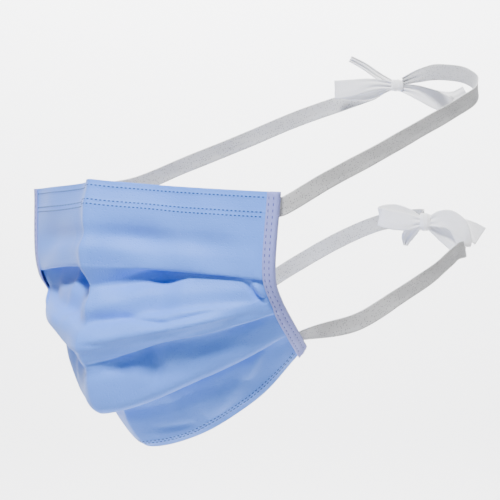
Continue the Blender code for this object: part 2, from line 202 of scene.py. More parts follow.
Line = namedtuple("Line", "name reach chin drop side_in side_back side_drop roundness ridge sag")
LINES = (
    Line("top edge", 0.00, 0.000, 0.000, 0.00, 0.00, 0.000, 0.16, 1.00, 0.45),
    Line("pleat 1", 0.52, 0.000, 0.311, 0.16, 0.00, 0.555, 0.22, 1.20, 1.20),
    Line("cheek", 0.80, 0.000, 0.590, 0.30, 0.225, 0.705, 0.52, 0.30, 1.10),
    Line("pleat 2", 0.42, 0.000, 0.672, 0.345, 0.30, 0.750, 0.36, 0.60, 1.20),
    Line("pleat 3", 0.00, 0.235, 0.858, 0.575, 0.61, 0.880, 0.42, 0.20, 1.25),
    Line("bottom edge", 0.00, 1.000, 1.000, 1.00, 1.00, 1.000, 0.42, 0.25, 1.72),
)
LAST_LINE = len(LINES) - 1
PEAK_ROUNDING = 0.035
STEP_DOWN, STEP_ACROSS = 0.05, 0.12


def softened(share):
    """√(s² + r²) with the peak rounding r, which takes off the point that a power of the share
    would have at the middle."""
    return np.sqrt(share**2 + PEAK_ROUNDING**2)


def line_points(line, across):
    """From the middle (0) to a side (1 or -1): a mix of a straight line and a quarter of an
    ellipse, pushed forwards at the nose by a bell curve. It drops by a power of the share."""
    share = np.abs(across)
    side_x = HALF_SPAN + line.side_in * (JAW_HALF_SPAN - HALF_SPAN)
    side_y = SIDE_SETBACK + line.side_back * (JAW_SETBACK - SIDE_SETBACK)
    side_z = -SIDE_DROP - line.side_drop * (JAW_DROP - SIDE_DROP)
    ridge = line.ridge * NOSE_RIDGE
    middle_y = ridge - line.reach * MOUTH_REACH + line.chin * CHIN_SETBACK
    middle_z = -line.drop * CHIN_DROP
    turn = share * np.pi / 2
    x = side_x * ((1 - line.roundness) * share + line.roundness * np.sin(turn))
    bend = (1 - line.roundness) * share + line.roundness * (1 - np.cos(turn))
    y = middle_y + (side_y - middle_y) * bend - ridge * np.exp(-((x / NOSE_RIDGE_WIDTH) ** 2))
    peak = softened(0.0) ** line.sag
    fall = (side_z - middle_z) * (softened(share) ** line.sag - peak) / (softened(1.0) ** line.sag - peak)
    return np.stack([np.sign(across) * x, y, middle_z + fall], -1)


def outline(down, across):
    """The smooth form: down counts the lines from 0 at the top to 5 at the bottom, and the point
    lies on the curve that bridges the lines there."""
    down, across = np.broadcast_arrays(down, across)
    lines = np.stack([line_points(line, across) for line in LINES])
    step = np.clip(down.astype(int), 0, LAST_LINE - 1)

    def line_at(number):
        return np.take_along_axis(lines, np.clip(number, 0, LAST_LINE)[None, ..., None], axis=0)[0]

    start, end = line_at(step), line_at(step + 1)
    before = np.where((step > 0)[..., None], line_at(step - 1), 2 * start - end)
    after = np.where((step < LAST_LINE - 1)[..., None], line_at(step + 2), 2 * end - start)
    return bridge(before, start, end, after, (down - step)[..., None])


def outward(down, across):
    """The form's normal away from the face: a step down crossed with a wide step across, so that
    layers behind the narrow nose ridge don't run into each other."""
    down, across = np.broadcast_arrays(down, across)
    above, below = np.maximum(down - STEP_DOWN, 0.0), np.minimum(down + STEP_DOWN, float(LAST_LINE))
    right, left = np.maximum(across - STEP_ACROSS, -1.0), np.minimum(across + STEP_ACROSS, 1.0)
    downwards = outline(below, across) - outline(above, across)
    leftwards = outline(down, left) - outline(down, right)
    return unit(np.cross(downwards, leftwards))


def sheet_point(down, across, inset):
    """A point of the form moved in, towards the face, by inset."""
    return outline(down, across) - outward(down, across) * np.asarray(inset)[..., None]


COLUMNS = 201
columns_across = np.linspace(-1.0, 1.0, COLUMNS)
down_stops = np.linspace(0.0, float(LAST_LINE), 40 * LAST_LINE + 1)
down_travel = travelled(outline(down_stops[:, None], columns_across[None, :]))
print("form, mm down the middle:", round(1000 * down_travel[-1, COLUMNS // 2], 1))

# %% [markdown]
# ## The ties
# The ties are flat tapes of the same non-woven stuff, folded double and welded, drawn tight round
# the head. A tape is a profile carried along a path: the path bends through a few points, and the
# tape keeps its flat side to the head. The same carrier makes the bows later, with gathers where
# a knot squeezes the tape. Their routes repeat the CAD routes, point for point.

# %% Tapes
CLOTH_WALL = 0.00045
BINDING_WALL = 0.0005
TAPE_WALL = 0.00035
LAYER = 0.0010
BINDING_FRONT = 0.00055
BINDING_BACK = 2 * LAYER + CLOTH_WALL + BINDING_WALL
TIE_WIDTH = 0.0076
TIE_HOLD = 0.0060
TIE_BEHIND = BINDING_BACK + BINDING_WALL / 2 + TAPE_WALL
TIE_ROWS, TIE_COLUMNS = 220, 13
GATHER_DEPTH, GATHERS = 0.0011, 2.2
RIPPLE_HEIGHT, RIPPLE_LENGTH = 0.00012, 0.0046
CUP_DEPTH = 0.00018
SEAM_DEPTH, SEAM_PLACE, SEAM_WIDTH = 0.00012, -0.35, 0.12
CURVE_STEPS = 12
KNOT_CLEARANCE = 0.0003
KNOT_SQUEEZE = (0.85, 0.42)
ARRIVAL_SHARE = 0.8
KNOT_DEPTH = 0.0080
BOW_STEP = 0.0018
BOW_TURN = np.radians(44.0)
BOW_ALONG = np.array([np.cos(BOW_TURN), np.sin(BOW_TURN), 0.0])
BOW_BEHIND = np.array([-np.sin(BOW_TURN), np.cos(BOW_TURN), 0.0])

Knot = namedtuple("Knot", "place width height")
UPPER_KNOT = Knot(np.array([-0.0175, 0.2145, 0.0433]), 0.0062, 0.0058)
LOWER_KNOT = Knot(np.array([0.0350, 0.1733, -0.0203]), 0.0052, 0.0084)


def bow_point(knot, along, behind, rise):
    """A point near a knot, measured from the upright plane that the bow hangs in."""
    return knot.place + BOW_ALONG * along + BOW_BEHIND * behind + UP * rise


def smooth_path(points, count):
    """count points evenly along a smooth curve through the given ones, and the share of the way
    at which each given one lies."""
    points = np.asarray(points, float)
    padded = np.vstack([2 * points[0] - points[1], points, 2 * points[-1] - points[-2]])
    share = np.linspace(0.0, 1.0, CURVE_STEPS, endpoint=False)[:, None]
    bends = [bridge(*four, share) for four in zip(padded, padded[1:], padded[2:], padded[3:])]
    curve = np.vstack(bends + [points[-1:]])
    travel = travelled(curve)
    even = np.linspace(0.0, travel[-1], count)
    path = np.stack([np.interp(even, travel, curve[:, axis]) for axis in range(3)], -1)
    return path, travel[::CURVE_STEPS] / travel[-1]


def tape(points, widths, leans, count, columns, phase):
    """A flat profile along a path. Across its width, from -1 to 1, it waves as a cosine in gathers
    where it is narrower than TIE_WIDTH, ripples as a sine, cups by the square of the share, and has
    a bell-shaped weld line."""
    path, places = smooth_path(points, count)
    even = np.linspace(0.0, 1.0, count)
    heading = unit(np.gradient(path, axis=0))
    lean = np.stack([np.interp(even, places, axis) for axis in np.array(leans).T], -1)
    wide = unit(lean - heading * np.sum(lean * heading, axis=1, keepdims=True))
    face = np.cross(heading, wide)
    width = np.interp(even, places, widths)[:, None]
    share = np.linspace(-1.0, 1.0, columns)[None, :]
    squeeze = np.clip(1 - width / TIE_WIDTH, 0.0, 1.0)
    along = travelled(path)[:, None]
    relief = (
        GATHER_DEPTH * squeeze * np.cos(np.pi * (GATHERS * share + phase))
        + RIPPLE_HEIGHT * np.sin(along / RIPPLE_LENGTH + 2.3 * share + 9 * phase)
        + CUP_DEPTH * share**2
        - SEAM_DEPTH * np.exp(-(((share - SEAM_PLACE) / SEAM_WIDTH) ** 2))
    )
    grid = path[:, None] + wide[:, None] * (width * share / 2)[..., None] + face[:, None] * relief[..., None]
    uv = np.stack(np.broadcast_arrays(along, share * TIE_WIDTH / 2), -1)
    return grid, uv, path


Tie = namedtuple("Tie", "name side down knot behind rise stops")
TIES = (
    Tie("tie_upper_left", 1, 0.17, UPPER_KNOT, -1.50, 0.25, (
        (0.0780, 0.060, -0.0006), (0.0790, 0.090, 0.0105), (0.0770, 0.120, 0.0210),
        (0.0720, 0.150, 0.0302), (0.0650, 0.172, 0.0364), (0.0570, 0.184, 0.0396),
        (0.0480, 0.194, 0.0425), (0.0380, 0.202, 0.0452), (0.0280, 0.208, 0.0473),
        (0.0160, 0.213, 0.0486), (0.0030, 0.217, 0.0491), (-0.0060, 0.2175, 0.0478))),
    Tie("tie_upper_right", -1, 0.17, UPPER_KNOT, 1.67, 0.0, (
        (-0.0780, 0.070, -0.0073), (-0.0785, 0.100, -0.0040), (-0.0750, 0.130, 0.0056),
        (-0.0670, 0.160, 0.0164), (-0.0550, 0.185, 0.0274), (-0.0420, 0.203, 0.0351),
        (-0.0300, 0.2115, 0.0398))),
    Tie("tie_lower_left", 1, 4.78, LOWER_KNOT, 1.80, 0.0, (
        (0.0660, 0.092, -0.0608), (0.0700, 0.115, -0.0505), (0.0680, 0.140, -0.0415),
        (0.0610, 0.161, -0.0351), (0.0535, 0.175, -0.0330), (0.0475, 0.187, -0.0324),
        (0.0405, 0.1945, -0.0310), (0.0345, 0.194, -0.0280), (0.0335, 0.186, -0.0245))),
    Tie("tie_lower_right", -1, 4.78, LOWER_KNOT, 1.67, 0.0, (
        (-0.0660, 0.095, -0.0660), (-0.0690, 0.120, -0.0630), (-0.0660, 0.145, -0.0600),
        (-0.0610, 0.163, -0.0535), (-0.0520, 0.180, -0.0425), (-0.0370, 0.195, -0.0305),
        (-0.0200, 0.2035, -0.0225), (-0.0020, 0.204, -0.0196), (0.0120, 0.1985, -0.0188),
        (0.0220, 0.188, -0.0190), (0.0280, 0.179, -0.0198))),
)


def make_tie(tie):
    """A tape held flat behind its binding, then along its stops, then into the side of its knot."""
    reach = np.array([1.0 - TIE_HOLD / HALF_SPAN, 1.0 - 0.5 * TIE_HOLD / HALF_SPAN, 1.0])
    held = sheet_point(np.full(3, tie.down), tie.side * reach, np.full(3, TIE_BEHIND))
    edge = outline(np.array([tie.down - 0.1, tie.down + 0.1]), np.full(2, float(tie.side)))
    arrival = bow_point(tie.knot, tie.side * (tie.knot.width / 2 - KNOT_CLEARANCE),
                        tie.behind * BOW_STEP * ARRIVAL_SHARE, tie.rise * TIE_WIDTH)
    widths = [TIE_WIDTH] * (len(tie.stops) + 2) + [share * TIE_WIDTH for share in KNOT_SQUEEZE]
    leans = [unit(edge[0] - edge[1])] * 3 + [UP] * (len(tie.stops) + 1)
    grid, uv, path = tape([*held, *tie.stops, arrival], widths, leans, TIE_ROWS, TIE_COLUMNS, 0.5)
    piece = cloth_piece(tie.name + "_tape", grid, uv, TAPE_WALL)
    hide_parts(tie.name)


for tie in TIES:
    make_tie(tie)

# %% [markdown]
# ## The pleats
# Three knife pleats cross the cloth. Each runs down to a crest, folds back up behind itself, and
# folds down again, which hides twice its depth. At the sides the pleats lie shut under the
# binding. In the middle the face pushes them open, and the hidden panel swings out. In profile
# this is a path of distance down the form against depth behind it, which differs from column to
# column. Each panel lists its rows as pairs, the share of the way down it and how far it puffs out.
# They and the folds give the corners of the profile, and the curve through them rounds it.

# %% Rows of cloth
PLEAT_DEPTH = 0.0085
PUFF = 0.0022
BINDING_PRESS, PRESS_START, PRESS_RAMP = 0.45, 0.6, 0.35
SLACK_RAMP = 0.12
POCKET_START, POCKET_RAMP = 0.14, 0.3
HEM_PITCH = 0.00048
ROW_PITCH = 0.00105

Pleat = namedtuple("Pleat", [
    "crest", "lift", "open_angle", "left_open", "left_shut", "left_slack",
    "right_open", "right_shut", "right_slack", "fading", "pocket",
])
PLEATS = (
    Pleat(1, 0.00, 140, 0.08, 0.52, 0.60, 0.06, 0.40, 0.30, 0.0, 0.0045),
    Pleat(3, 0.28, 166, 0.06, 0.40, 0.90, 0.00, 0.45, 0.90, 0.85, 0.0),
    Pleat(4, 0.00, 24, 0.00, 0.50, 0.00, 0.00, 0.50, 0.00, 0.0, 0.0),
)

PANELS = (
    ((0.00, 0.0), (0.10, 0.1), (0.30, 0.7), (0.48, 0.4),
     (0.64, -0.4), (0.82, 0.5), (1.00, 0.0)),
    ((0.10, 0.0), (0.28, 0.4), (0.49, -1.0), (0.60, 0.3),
     (0.71, 0.8), (0.86, 0.4), (1.00, 0.0)),
    ((0.12, 0.2), (0.24, 0.7), (0.42, 1.1), (0.64, 1.4), (0.85, 1.3), (1.00, 0.5)),
    ((0.12, -0.4), (0.30, -1.1), (0.50, -0.3), (0.75, 0.3), (0.90, 0.2), (1.00, 0.0)),
)


def crest_travel(pleat, across):
    """How far down the form a pleat's crest lies: on its line, or lifted from it between the middle
    and the side."""
    place = pleat.crest - pleat.lift * np.sin(np.pi * np.clip(np.abs(across), 0.0, 1.0))
    return np.array([
        np.interp(stop, down_stops, down_travel[:, column]) for column, stop in enumerate(place)
    ])


def key_rows(across):
    """The corners of the folded profile: rows × columns × (distance down the form, depth behind
    it). A pleat's return panel points straight up behind its crest where it is shut, and swings by
    its open angle towards the middle. It is slack and less deep on the way, and a fading one stays
    so when open. On the right its foot can also sink in, as a pocket. The bindings press the layers
    together."""
    calm = np.cos(across * np.pi / 2)
    layer = LAYER * (1 - BINDING_PRESS * eased((np.abs(across) - PRESS_START) / PRESS_RAMP))
    pocket = eased((-POCKET_START - across) / POCKET_RAMP) * eased((1 + across) / POCKET_RAMP)
    rows = []
    top, tuck = np.zeros_like(across), np.zeros_like(across)
    for number, panel in enumerate(PANELS):
        folds = number < len(PLEATS)
        bottom = crest_travel(PLEATS[number], across) if folds else down_travel[-1]
        first_way = panel[0][0]
        for way, puff in panel:
            fade = eased((way - first_way) / (1 - first_way))
            rows.append((top + way * (bottom - top), tuck * (1 - fade) - puff * PUFF * calm))
        if folds:
            pleat = PLEATS[number]
            shut = np.where(
                across > 0,
                eased((across - pleat.left_open) / (pleat.left_shut - pleat.left_open)),
                eased((-across - pleat.right_open) / (pleat.right_shut - pleat.right_open)),
            )
            angle = np.radians(pleat.open_angle) * (1 - shut)
            slack = np.where(across > 0, pleat.left_slack, pleat.right_slack)
            depth = PLEAT_DEPTH * (1 - slack * np.sin(angle) ** 2 * eased(np.abs(across) / SLACK_RAMP))
            depth = depth * (1 - pleat.fading * (1 - shut))
            turn_down, turn_in = layer * np.sin(angle / 2), layer * np.cos(angle / 2)
            swing_down = -depth * np.cos(angle)
            swing_in = depth * np.sin(angle) + pleat.pocket * pocket
            rows.append((bottom + turn_down, turn_in))
            rows.append((bottom + turn_down + swing_down, turn_in + swing_in))
            rows.append((bottom + 2 * turn_down + swing_down, 2 * turn_in + swing_in))
            top, tuck = np.maximum(rows[-1][0], bottom), rows[-1][1]
    return np.stack([np.stack(row, -1) for row in rows])


def refined(keys, counts):
    """Rows on the curve that bridges the key rows, counts[k] of them from key row k to the next."""
    padded = np.concatenate([2 * keys[:1] - keys[1:2], keys, 2 * keys[-1:] - keys[-2:-1]])
    runs = [
        bridge(*padded[number:number + 4], (np.arange(count) / count)[:, None, None])
        for number, count in enumerate(counts)
    ]
    return np.concatenate(runs + [keys[-1:]])


corner_rows = key_rows(columns_across)
longest = np.linalg.norm(np.diff(corner_rows, axis=0), axis=-1).max(axis=1)
pitch = np.full(len(longest), ROW_PITCH)
pitch[:2] = pitch[-2:] = HEM_PITCH
row_counts = np.maximum(np.ceil(longest / pitch).astype(int), 4)
profile = refined(corner_rows, row_counts)
body_down = np.stack([
    np.interp(profile[:, column, 0], down_travel[:, column], down_stops) for column in range(COLUMNS)
], axis=1)
body_inset = profile[..., 1]
print("rows of cloth:", len(profile))

# %% [markdown]
# ## Creases
# Worn cloth is never as smooth as its form: it pulls from the nose to the ties, and it has soft
# dents where the face is hollow. Each crease is a low ridge or a valley along a short line on the
# cloth, with a bell-shaped profile that dies out at both ends. They could be sculpted by hand, but
# a table can be read and corrected against the picture. A faint seeded waviness joins them, and
# the hems stand up in a low ridge under each row of welds.

# %% Creases
HALF_WIDTH = 0.0850
LINE_PITCH = 0.0270
WAVE_COUNT = 12
WAVE_LENGTHS = (0.009, 0.030)
WAVE_SPREAD = 0.45
WAVE_SEED = 5
WAVE_HEIGHT = 0.0012

Crease = namedtuple("Crease", "across_from down_from across_to down_to width height")
CREASES = [Crease(*row) for row in (
    (0.02, 0.05, 0.03, 1.10, 0.0045, 0.0007),
    (0.05, 0.38, 0.45, 0.42, 0.0060, 0.0008),
    (0.04, 0.60, 0.50, 0.74, 0.0036, -0.0008),
    (0.45, 0.72, 0.80, 0.62, 0.0048, -0.0008),
    (0.10, 0.86, 0.60, 0.86, 0.0050, 0.0009),
    (-0.95, 0.62, -0.30, 0.66, 0.0046, -0.0013),
    (-0.03, 1.28, 0.54, 1.06, 0.0017, -0.0011),
    (0.05, 1.45, 0.50, 1.40, 0.0070, 0.0010),
    (-0.02, 1.66, 0.26, 1.64, 0.0018, -0.0007),
    (0.17, 1.63, 0.43, 1.90, 0.0018, -0.0019),
    (0.35, 1.89, 0.68, 1.76, 0.0022, -0.0014),
    (0.83, 1.06, 0.92, 1.85, 0.0016, -0.0018),
    (0.88, 1.10, 0.93, 1.60, 0.0018, 0.0012),
    (0.04, 2.03, 0.75, 1.98, 0.0026, 0.0014),
    (0.00, 2.18, 0.14, 2.16, 0.0014, -0.0008),
    (-0.02, 3.06, 0.26, 2.98, 0.0014, -0.0009),
    (0.00, 4.12, 0.94, 4.10, 0.0032, -0.0026),
    (0.80, 4.15, 0.66, 4.50, 0.0035, 0.0018),
    (0.67, 4.48, 0.40, 4.72, 0.0040, 0.0014),
    (0.12, 4.66, 0.34, 4.74, 0.0014, -0.0011),
    (0.30, 4.20, 0.55, 4.15, 0.0060, -0.0012),
)]


def crease_height(down, across):
    """The sum over the creases of height · exp(-(distance / width)²), with the distance taken to
    the crease's line, and faded to nothing towards the line's ends by a power of a sine."""
    place = np.stack(np.broadcast_arrays(across * HALF_WIDTH, down * LINE_PITCH), -1)
    total = np.zeros(place.shape[:-1])
    for crease in CREASES:
        start = np.array([crease.across_from * HALF_WIDTH, crease.down_from * LINE_PITCH])
        way = np.array([crease.across_to * HALF_WIDTH, crease.down_to * LINE_PITCH]) - start
        share = np.clip((place - start) @ way / (way @ way), 0.0, 1.0)
        distance = np.linalg.norm(place - start - share[..., None] * way, axis=-1)
        total += crease.height * np.exp(-((distance / crease.width) ** 2)) * np.sin(np.pi * share) ** 0.7
    return total


def waviness(down, across):
    """The mean of sine waves of chance length and direction, whose crests mostly run across."""
    chance = np.random.default_rng(WAVE_SEED)
    total = 0.0
    for _ in range(WAVE_COUNT):
        length = chance.uniform(*WAVE_LENGTHS)
        tilt = chance.normal(np.pi / 2, WAVE_SPREAD)
        phase = chance.uniform(0.0, 2 * np.pi)
        along = across * HALF_WIDTH * np.cos(tilt) + down * LINE_PITCH * np.sin(tilt)
        total = total + np.sin(2 * np.pi * along / length + phase)
    return WAVE_HEIGHT * total / WAVE_COUNT


HEM_WELDS = (0.0024, 0.0085, 0.0104)
BOTTOM_WELDS = (0.0036, 0.0049)
HEM_RIDGE, HEM_RIDGE_WIDTH = 0.00014, 0.0006
BOUND_START, BOUND_RAMP = 0.90, 0.06


def ridge(distance):
    """exp(-(distance / width)²): one of the low ridges that the rows of welds stand on."""
    return np.exp(-((distance / HEM_RIDGE_WIDTH) ** 2))


free_cloth = 1 - eased((np.abs(columns_across) - BOUND_START) / BOUND_RAMP)
body_relief = free_cloth * (crease_height(body_down, columns_across) + waviness(body_down, columns_across))
body_grid = sheet_point(body_down, columns_across[None, :], body_inset - body_relief)
from_top = travelled(body_grid)
from_bottom = from_top[-1] - from_top
ridges = sum(ridge(from_top - weld) for weld in HEM_WELDS)
ridges = ridges + sum(ridge(from_bottom - weld) for weld in BOTTOM_WELDS)
body_grid = body_grid + grid_normals(body_grid) * (HEM_RIDGE * ridges)[..., None]
print("deepest crease, mm:", round(1000 * float(-body_relief.min()), 2))

# %% [markdown]
# ## The pleated cloth
# The rows and creases now become one sheet. Its UV map holds metres of cloth, across and down, so that every
# pattern keeps its real size on the folds. Its flat size is measured and printed.

# %% The pleated cloth
body_uv = np.stack(np.broadcast_arrays(columns_across[None, :] * HALF_WIDTH, from_top), -1)
body = cloth_piece("pleated_cloth", body_grid, body_uv, CLOTH_WALL)
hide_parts("mask_body")
across_width = np.median(travelled(body_grid.transpose(1, 0, 2))[-1])
cloth_length = np.median(from_top[-1])
print("cloth, mm:", round(1000 * across_width), "x", round(1000 * cloth_length))

# %% [markdown]
# ## The bindings
# A strip is folded round each side edge, over the shut pleats, and welded through. Its profile is
# an outer leg, a round fold and an inner leg, carried down the edge of the form. The outer leg
# swells between its two rows of welds.

# %% The bindings
BINDING_WIDTH = 0.0042
BINDING_BULGE = 0.0009
BINDING_TAIL = 0.0012
BINDING_SWELL = 0.00035
BINDING_WELDS = (0.27, 0.73)
BINDING_GROOVE, BINDING_GROOVE_WIDTH = 0.000196, 0.07
BINDING_RIPPLE = 0.00012
BINDING_ROWS, LEG_COLUMNS, FOLD_COLUMNS = 150, 13, 9


def binding_grid(side):
    """Down the edge: the outer leg at BINDING_FRONT before the cloth, swelling as a sine between
    its edges with a bell-shaped groove along each row of welds, a half turn whose bulge is a sine,
    and the inner leg at BINDING_BACK behind it."""
    stops = np.linspace(0.0, float(LAST_LINE), BINDING_ROWS)[:, None]
    reach = np.linspace(1.0, 0.0, LEG_COLUMNS)[None, :]
    share = BINDING_WIDTH / HALF_SPAN
    grooves = sum(np.exp(-(((reach - weld) / BINDING_GROOVE_WIDTH) ** 2)) for weld in BINDING_WELDS)
    swell = BINDING_SWELL * np.sin(np.pi * reach) - BINDING_GROOVE * grooves
    swell = swell + BINDING_RIPPLE * np.sin(stops * 7.3 + side) * np.sin(np.pi * reach)
    outer = sheet_point(stops, side * (1 - reach * share), -(BINDING_FRONT + swell))
    inner = sheet_point(stops, side * (1 - reach[:, ::-1] * share), np.full_like(swell, BINDING_BACK))
    edge = outline(stops[:, 0], np.full(BINDING_ROWS, float(side)))
    sideways = unit(edge - outline(stops[:, 0], np.full(BINDING_ROWS, side * 0.98)))
    normal = outward(stops[:, 0], np.full(BINDING_ROWS, float(side)))
    turn = np.linspace(0.0, np.pi, FOLD_COLUMNS)[None, 1:-1, None]
    depth = -BINDING_FRONT + (BINDING_FRONT + BINDING_BACK) * (1 - np.cos(turn)) / 2
    fold = edge[:, None] + sideways[:, None] * BINDING_BULGE * np.sin(turn) - normal[:, None] * depth
    grid = np.concatenate([outer, fold, inner], axis=1)
    tail = grid[-1:] + unit(grid[-1:] - grid[-2:-1]) * BINDING_TAIL
    return np.concatenate([grid, tail])


def grid_uv(grid):
    """Metres along each row and down each column."""
    return np.stack([travelled(grid.transpose(1, 0, 2)).T, travelled(grid)], -1)


SIDES = ((1, "left"), (-1, "right"))
bindings = {}
for side, side_name in SIDES:
    grid = bindings[side] = binding_grid(side)
    piece = cloth_piece("folded_binding_" + side_name, grid, grid_uv(grid), BINDING_WALL)
    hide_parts("binding_" + side_name)

# %% [markdown]
# ## The weld dots
# Nothing here is sewn: small rollers press hot dots through all the layers. Each dot is a flat
# lozenge, a squared-off ellipsoid of a few dozen faces, set into the cloth. The hems' dots are
# one mesh and each binding's another, made from a template and three arrows for each dot.

# %% The weld dots
DOT_LENGTH, DOT_WIDTH, DOT_HEIGHT, DOT_PITCH = 0.0011, 0.00055, 0.00012, 0.0018
DASH_LENGTH, DASH_WIDTH, DASH_PITCH = 0.0014, 0.00052, 0.0026
DOT_RINGS, DOT_SIDES = 3, 8


def squared(value, power):
    """The size raised to a power, with its sign kept."""
    return np.sign(value) * np.abs(value) ** power


def ball_angles(rings, sides):
    """The turn round each ring of a ball, and the tilt of the rings between its two poles."""
    turn = np.linspace(0.0, 2 * np.pi, sides, endpoint=False)[None, :]
    tilt = np.linspace(-np.pi / 2, np.pi / 2, rings + 2)[1:-1, None]
    return turn, tilt


def ball_faces(rings, sides):
    """Quads between the rings of a ball, and a fan of triangles round each pole. The two poles are
    the last two points."""
    around = np.arange(sides)
    after = (around + 1) % sides
    belt = np.stack([around, after, after + sides, around + sides], -1)
    quads = np.concatenate([belt + sides * ring for ring in range(rings - 1)])
    pole = np.full(sides, rings * sides)
    last_ring = sides * (rings - 1)
    fans = [[after, around, pole], [around + last_ring, after + last_ring, pole + 1]]
    return quads, np.concatenate([np.stack(fan, -1) for fan in fans])


def lozenge():
    """A small ball whose sections are squared: powers of the cosines and sines of its angles."""
    turn, tilt = ball_angles(DOT_RINGS, DOT_SIDES)
    radius = np.cos(tilt) ** 0.5
    rings = np.stack(np.broadcast_arrays(
        radius * squared(np.cos(turn), 0.6), radius * squared(np.sin(turn), 0.6), np.sin(tilt)
    ), -1).reshape(-1, 3)
    return np.vstack([rings, -UP, UP]), *ball_faces(DOT_RINGS, DOT_SIDES)


def even_along(curve, normals, pitch, start):
    """Places a pitch apart along a curve, from start to as far before its end, each with its
    heading and its normal."""
    travel = travelled(curve)
    stops = np.arange(start, travel[-1] - start, pitch)
    place, heading, normal = (
        np.stack([np.interp(stops, travel, axis) for axis in array.T], -1)
        for array in (curve, np.gradient(curve, axis=0), normals)
    )
    return place, unit(heading), unit(normal)


def weld_row(lines, normals, length, width, pitch, start, lift):
    """The frames of all dots along the lines: place, and three arrows scaled to half a dot."""
    places, frames = [], []
    for line, normal in zip(lines, normals):
        place, heading, outwards = even_along(line, normal, pitch, start)
        across = np.cross(outwards, heading)
        rise = np.cross(heading, across) * DOT_HEIGHT
        places.append(place + outwards * lift)
        frames.append(np.stack([heading * length / 2, across * width / 2, rise], 1))
    return np.vstack(places), np.vstack(frames)


def make_dots(name, places, arrows, slot):
    """One mesh of all the dots: template points times each dot's arrows, plus its place."""
    points, quads, triangles = lozenge()
    shift = (np.arange(len(places)) * len(points))[:, None, None]
    all_quads, all_triangles = (quads + shift).reshape(-1, 4), (triangles + shift).reshape(-1, 3)
    cloud = points[None] @ arrows + places[:, None]
    piece = new_piece(name, cloud, all_quads.tolist() + all_triangles.tolist())
    print(name, "dots:", len(places))
    return piece


def line_at_distance(distances, target, values):
    """The value at the place in each column where its distance reaches the target."""
    order = slice(None) if distances[0, 0] < distances[-1, 0] else slice(None, None, -1)
    return np.array([
        [np.interp(target, distances[order, column], axis) for axis in values[order, column].T]
        for column in range(COLUMNS)
    ])


body_normals = grid_normals(body_grid)
hem_lines = [(from_top, weld) for weld in HEM_WELDS] + [(from_bottom, weld) for weld in BOTTOM_WELDS]
hem_curves = [line_at_distance(distances, weld, body_grid) for distances, weld in hem_lines]
hem_normals = [line_at_distance(distances, weld, body_normals) for distances, weld in hem_lines]
hem_margin = BINDING_WIDTH + DOT_PITCH / 2
cloth_dots = make_dots("hem_welds", *weld_row(
    hem_curves, hem_normals, DOT_LENGTH, DOT_WIDTH, DOT_PITCH, hem_margin, CLOTH_WALL / 2), "blue_cloth")

weld_columns = [round((LEG_COLUMNS - 1) * (1 - weld)) for weld in BINDING_WELDS]
for side, side_name in SIDES:
    stops = np.linspace(0.0, float(LAST_LINE), BINDING_ROWS + 1)
    normals = outward(stops, np.full(len(stops), float(side)))
    make_dots("binding_welds_" + side_name, *weld_row(
        [bindings[side][:, column] for column in weld_columns], [normals, normals],
        DASH_LENGTH, DASH_WIDTH, DASH_PITCH, DASH_PITCH, BINDING_WALL / 2), "lavender_binding")

# %% [markdown]
# ## The bows
# Each bow is tied from the ends of two ties: two loops, two free ends and a knot. The loops and
# ends are tapes along paths that are measured from the knot, in the upright plane that the bow
# hangs in. Near the knot the tape is squeezed narrow, and its gathers deepen there.

# %% The bows
BOW_COLUMNS = 15
Bend = namedtuple("Bend", "along behind rise width lift lean", defaults=(0.0, 0.0))
OPEN_LOOP = (
    Bend(-0.06, -1.30, 0.06, 0.40), Bend(0.20, -1.95, 0.22, 0.62, 0.12),
    Bend(0.45, -2.40, 0.45, 0.85, 0.12), Bend(0.70, -2.30, 0.75, 1.08, 0.03),
    Bend(0.92, -1.85, 0.95, 1.15), Bend(1.00, -1.05, 1.00, 1.15), Bend(0.88, -0.35, 0.95, 1.15),
    Bend(0.62, -0.10, 0.70, 1.10, -0.20), Bend(0.38, -0.15, 0.40, 0.85, -0.34),
    Bend(0.16, -0.30, 0.20, 0.60, -0.20), Bend(-0.06, -0.45, 0.06, 0.40),
)
MIDDLE_LOOP = (
    Bend(-0.06, -0.45, 0.10, 0.40), Bend(0.25, -0.95, 0.30, 0.85), Bend(0.60, -1.15, 0.64, 1.10),
    Bend(0.90, -1.00, 0.93, 1.10), Bend(1.00, -0.10, 1.00, 1.10), Bend(0.90, 0.65, 0.93, 1.10),
    Bend(0.60, 0.80, 0.64, 1.05), Bend(0.25, 0.65, 0.30, 0.80), Bend(-0.06, 0.45, 0.10, 0.40),
)
ARCH_LOOP = (
    Bend(-0.06, -1.30, -0.02, 0.50, 0.0, 4), Bend(0.22, -1.85, -0.10, 1.00, 0.0, 8),
    Bend(0.48, -2.10, -0.10, 1.15, 0.0, 24), Bend(0.72, -2.10, 0.10, 1.15, 0.0, 52),
    Bend(0.86, -1.95, 0.48, 1.05, 0.0, 74), Bend(0.90, -1.50, 0.82, 0.95, 0.0, 80),
    Bend(0.84, -0.80, 0.90, 0.95, 0.0, 60), Bend(0.64, -0.35, 0.72, 1.00, 0.0, 34),
    Bend(0.34, -0.30, 0.40, 0.95, 0.0, 16), Bend(-0.06, -0.45, 0.10, 0.45, 0.0, 0),
)
FULL_LOOP = (
    Bend(-0.06, -1.30, 0.06, 0.45), Bend(0.25, -1.85, 0.25, 1.00, -0.08),
    Bend(0.60, -1.95, 0.60, 1.15, -0.10), Bend(0.90, -1.80, 0.92, 1.10, -0.06),
    Bend(1.00, -1.05, 1.00, 1.10), Bend(0.90, -0.35, 0.95, 1.15, 0.10),
    Bend(0.60, -0.20, 0.80, 1.15, 0.22), Bend(0.25, -0.30, 0.40, 0.95, 0.16),
    Bend(-0.06, -0.45, 0.06, 0.45),
)
